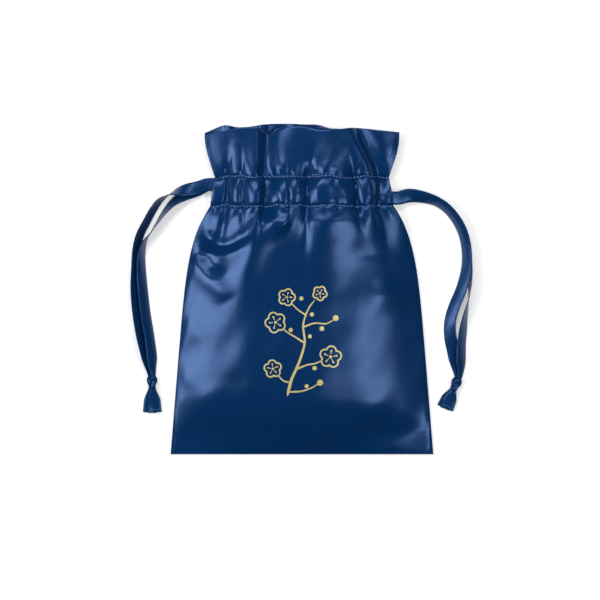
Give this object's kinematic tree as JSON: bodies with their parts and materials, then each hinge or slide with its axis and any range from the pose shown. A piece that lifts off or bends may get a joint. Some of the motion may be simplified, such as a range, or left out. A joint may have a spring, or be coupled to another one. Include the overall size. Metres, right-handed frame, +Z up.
{
  "type": "drawstring pouch",
  "caption": "Flat satin pouch with a gathered neck: sewn panels with a hemmed casing and flared frill, drawn in by ribbon drawstrings that are knotted at each side.",
  "frame": {"origin": "on the table, under the middle of the lying pouch's two panels", "axes": "+Z up out of the front panel, +Y from the bottom seam towards the mouth, +X to the right seen from the front"},
  "size_m": [0.2603, 0.252, 0.0268],
  "materials": {
    "satin_cloth": "navy satin with a soft sheen",
    "satin_ribbon": "navy satin ribbon with a soft sheen"
  },
  "bodies": {
    "root": {"front_panel": "satin_cloth", "back_panel": "satin_cloth", "left_ribbon": "satin_ribbon", "left_knot": "satin_ribbon", "right_ribbon": "satin_ribbon", "right_knot": "satin_ribbon"}
  },
  "joints": []
}
